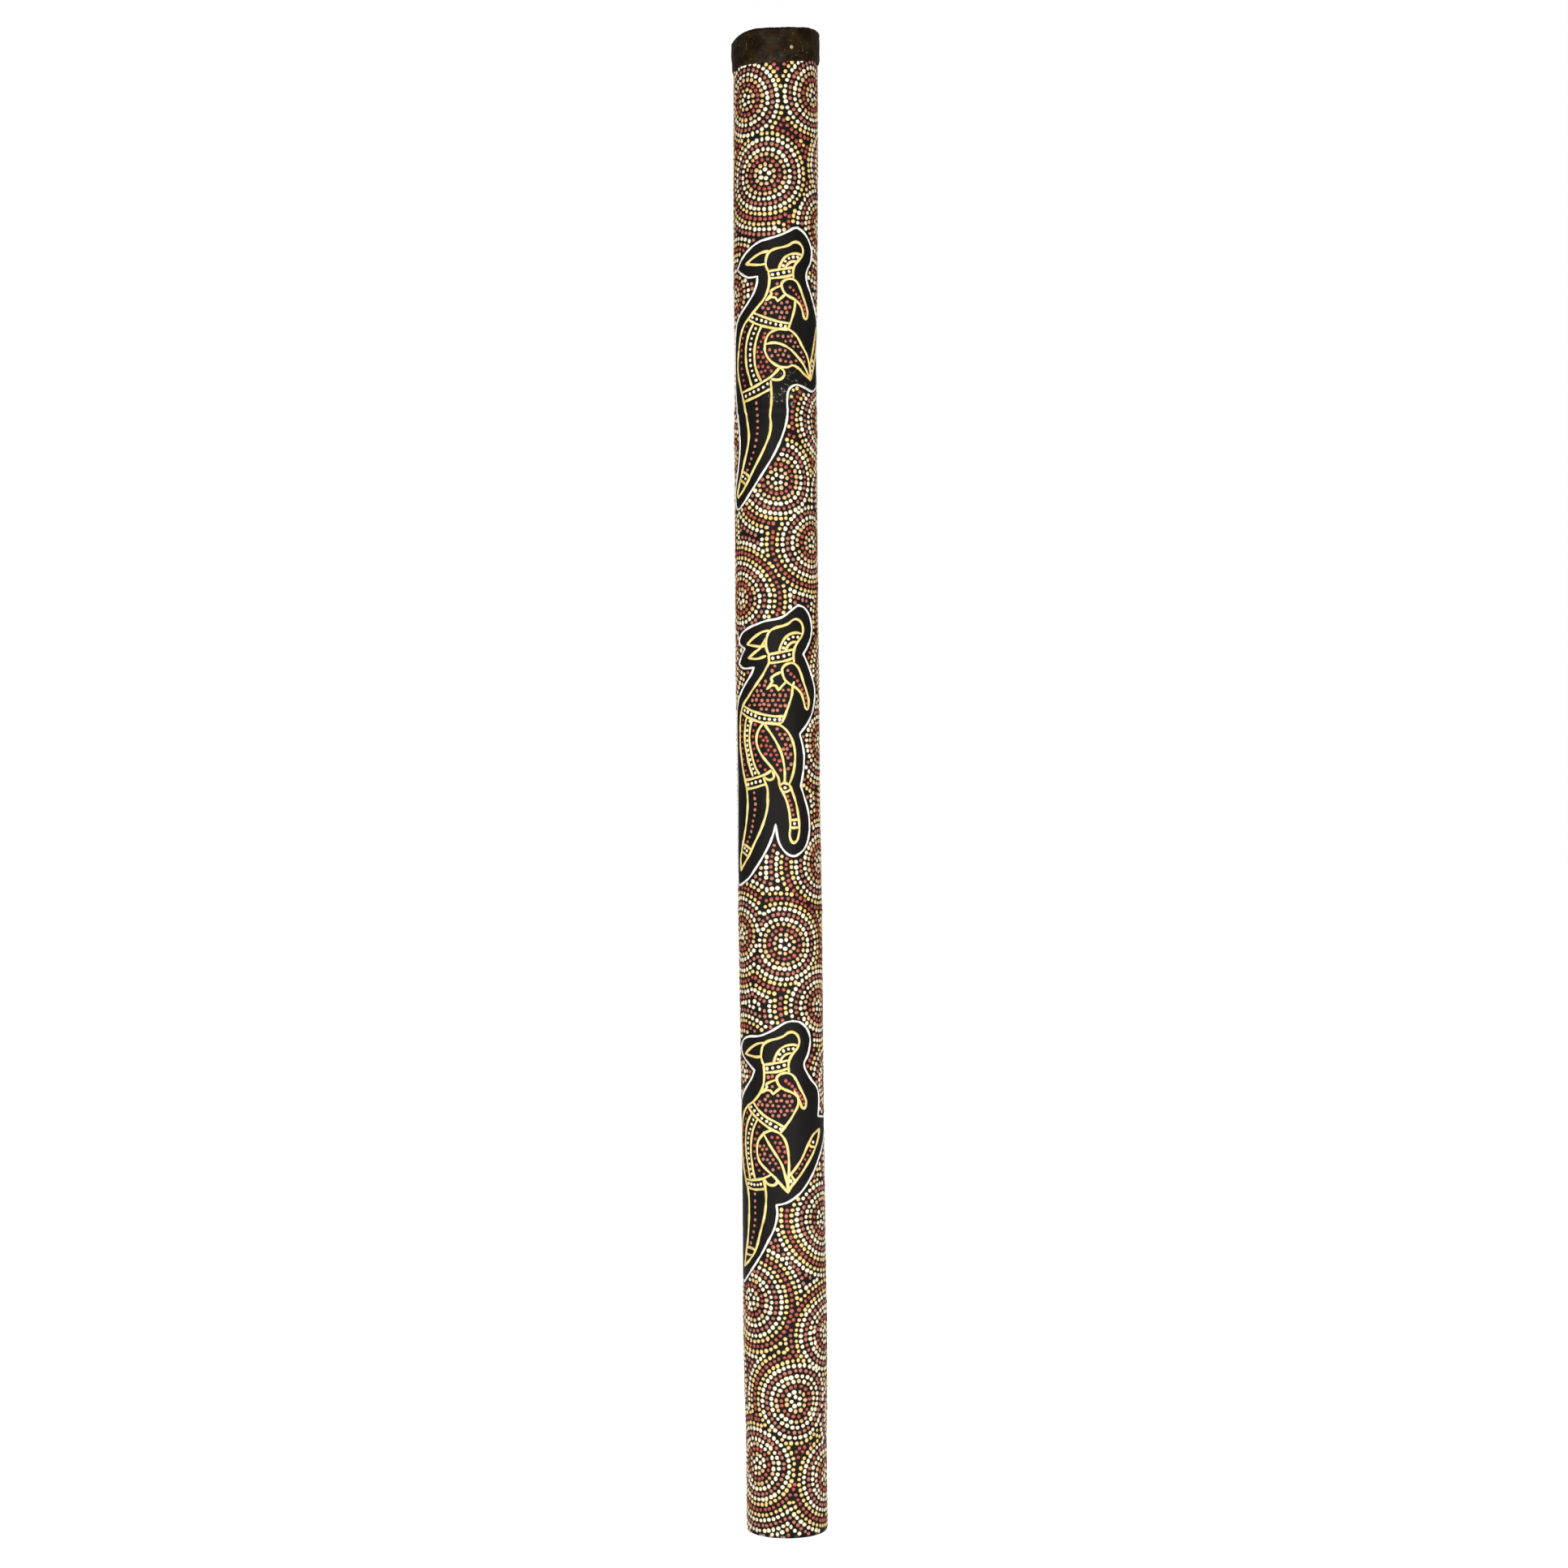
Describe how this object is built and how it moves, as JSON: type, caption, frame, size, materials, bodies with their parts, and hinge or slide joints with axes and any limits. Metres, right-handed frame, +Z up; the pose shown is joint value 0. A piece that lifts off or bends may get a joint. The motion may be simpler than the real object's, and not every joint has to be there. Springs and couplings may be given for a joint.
{
  "type": "rainstick",
  "caption": "Painted bamboo rainstick: a culm plugged at both ends, with thin pins across its bore and loose pebbles that trickle past them when it is turned over.",
  "frame": {"origin": "centre of the lower end, on the surface it stands on", "axes": "+Z up along the stick, -Y the painted front, +X to the right seen from the front"},
  "size_m": [0.0596, 0.0592, 1.0051],
  "materials": {
    "black_paint": "satin black paint over bamboo",
    "brown_resin": "hardened dark resin with flecks and scuffs",
    "plug_wood": "sawn end grain, unpainted",
    "split_bamboo": "split bamboo, unpainted",
    "pebble_stone": "river gravel, matt",
    "white_dots": "thick raised acrylic paint",
    "cream_dots": "thick raised acrylic paint",
    "yellow_dots": "thick raised acrylic paint",
    "salmon_dots": "thick raised acrylic paint",
    "red_dots": "thick raised acrylic paint"
  },
  "bodies": {
    "stick": {"bamboo_culm": "black_paint", "upper_seal": "brown_resin", "upper_plug": "plug_wood", "lower_plug": "plug_wood", "upper_dowel_01": "split_bamboo", "upper_dowel_02": "split_bamboo", "upper_dowel_03": "split_bamboo", "lower_dowel_01": "split_bamboo", "lower_dowel_02": "split_bamboo", "lower_dowel_03": "split_bamboo", "rain_pin_01": "split_bamboo", "rain_pin_02": "split_bamboo", "rain_pin_03": "split_bamboo", "rain_pin_04": "split_bamboo", "rain_pin_05": "split_bamboo", "rain_pin_06": "split_bamboo", "rain_pin_07": "split_bamboo", "rain_pin_08": "split_bamboo", "rain_pin_09": "split_bamboo", "rain_pin_10": "split_bamboo", "rain_pin_11": "split_bamboo", "rain_pin_12": "split_bamboo", "rain_pin_13": "split_bamboo", "rain_pin_14": "split_bamboo", "rain_pin_15": "split_bamboo", "rain_pin_16": "split_bamboo", "rain_pin_17": "split_bamboo", "rain_pin_18": "split_bamboo", "rain_pin_19": "split_bamboo", "rain_pin_20": "split_bamboo", "rain_pin_21": "split_bamboo", "rain_pin_22": "split_bamboo", "rain_pin_23": "split_bamboo", "rain_pin_24": "split_bamboo", "rain_pin_25": "split_bamboo", "rain_pin_26": "split_bamboo", "rain_pin_27": "split_bamboo", "rain_pin_28": "split_bamboo", "rain_pin_29": "split_bamboo", "rain_pin_30": "split_bamboo", "rain_pin_31": "split_bamboo", "rain_pin_32": "split_bamboo"},
    "pebble_01": {"pebble_01": "pebble_stone"},
    "pebble_02": {"pebble_02": "pebble_stone"},
    "pebble_03": {"pebble_03": "pebble_stone"},
    "pebble_04": {"pebble_04": "pebble_stone"},
    "pebble_05": {"pebble_05": "pebble_stone"},
    "pebble_06": {"pebble_06": "pebble_stone"},
    "pebble_07": {"pebble_07": "pebble_stone"},
    "pebble_08": {"pebble_08": "pebble_stone"},
    "pebble_09": {"pebble_09": "pebble_stone"},
    "pebble_10": {"pebble_10": "pebble_stone"},
    "pebble_11": {"pebble_11": "pebble_stone"},
    "pebble_12": {"pebble_12": "pebble_stone"},
    "pebble_13": {"pebble_13": "pebble_stone"},
    "pebble_14": {"pebble_14": "pebble_stone"},
    "pebble_15": {"pebble_15": "pebble_stone"},
    "pebble_16": {"pebble_16": "pebble_stone"}
  },
  "joints": [
    {"name": "pebble_01_fall", "type": "slide", "parent": "stick", "child": "pebble_01", "axis": [0, 0, 1], "range_m": [0, 0.938]},
    {"name": "pebble_02_fall", "type": "slide", "parent": "stick", "child": "pebble_02", "axis": [0, 0, 1], "range_m": [0, 0.938]},
    {"name": "pebble_03_fall", "type": "slide", "parent": "stick", "child": "pebble_03", "axis": [0, 0, 1], "range_m": [0, 0.938]},
    {"name": "pebble_04_fall", "type": "slide", "parent": "stick", "child": "pebble_04", "axis": [0, 0, 1], "range_m": [0, 0.938]},
    {"name": "pebble_05_fall", "type": "slide", "parent": "stick", "child": "pebble_05", "axis": [0, 0, 1], "range_m": [0, 0.938]},
    {"name": "pebble_06_fall", "type": "slide", "parent": "stick", "child": "pebble_06", "axis": [0, 0, 1], "range_m": [0, 0.938]},
    {"name": "pebble_07_fall", "type": "slide", "parent": "stick", "child": "pebble_07", "axis": [0, 0, 1], "range_m": [0, 0.938]},
    {"name": "pebble_08_fall", "type": "slide", "parent": "stick", "child": "pebble_08", "axis": [0, 0, 1], "range_m": [0, 0.938]},
    {"name": "pebble_09_fall", "type": "slide", "parent": "stick", "child": "pebble_09", "axis": [0, 0, 1], "range_m": [0, 0.938]},
    {"name": "pebble_10_fall", "type": "slide", "parent": "stick", "child": "pebble_10", "axis": [0, 0, 1], "range_m": [0, 0.938]},
    {"name": "pebble_11_fall", "type": "slide", "parent": "stick", "child": "pebble_11", "axis": [0, 0, 1], "range_m": [0, 0.938]},
    {"name": "pebble_12_fall", "type": "slide", "parent": "stick", "child": "pebble_12", "axis": [0, 0, 1], "range_m": [0, 0.938]},
    {"name": "pebble_13_fall", "type": "slide", "parent": "stick", "child": "pebble_13", "axis": [0, 0, 1], "range_m": [0, 0.938]},
    {"name": "pebble_14_fall", "type": "slide", "parent": "stick", "child": "pebble_14", "axis": [0, 0, 1], "range_m": [0, 0.938]},
    {"name": "pebble_15_fall", "type": "slide", "parent": "stick", "child": "pebble_15", "axis": [0, 0, 1], "range_m": [0, 0.938]},
    {"name": "pebble_16_fall", "type": "slide", "parent": "stick", "child": "pebble_16", "axis": [0, 0, 1], "range_m": [0, 0.938]}
  ]
}
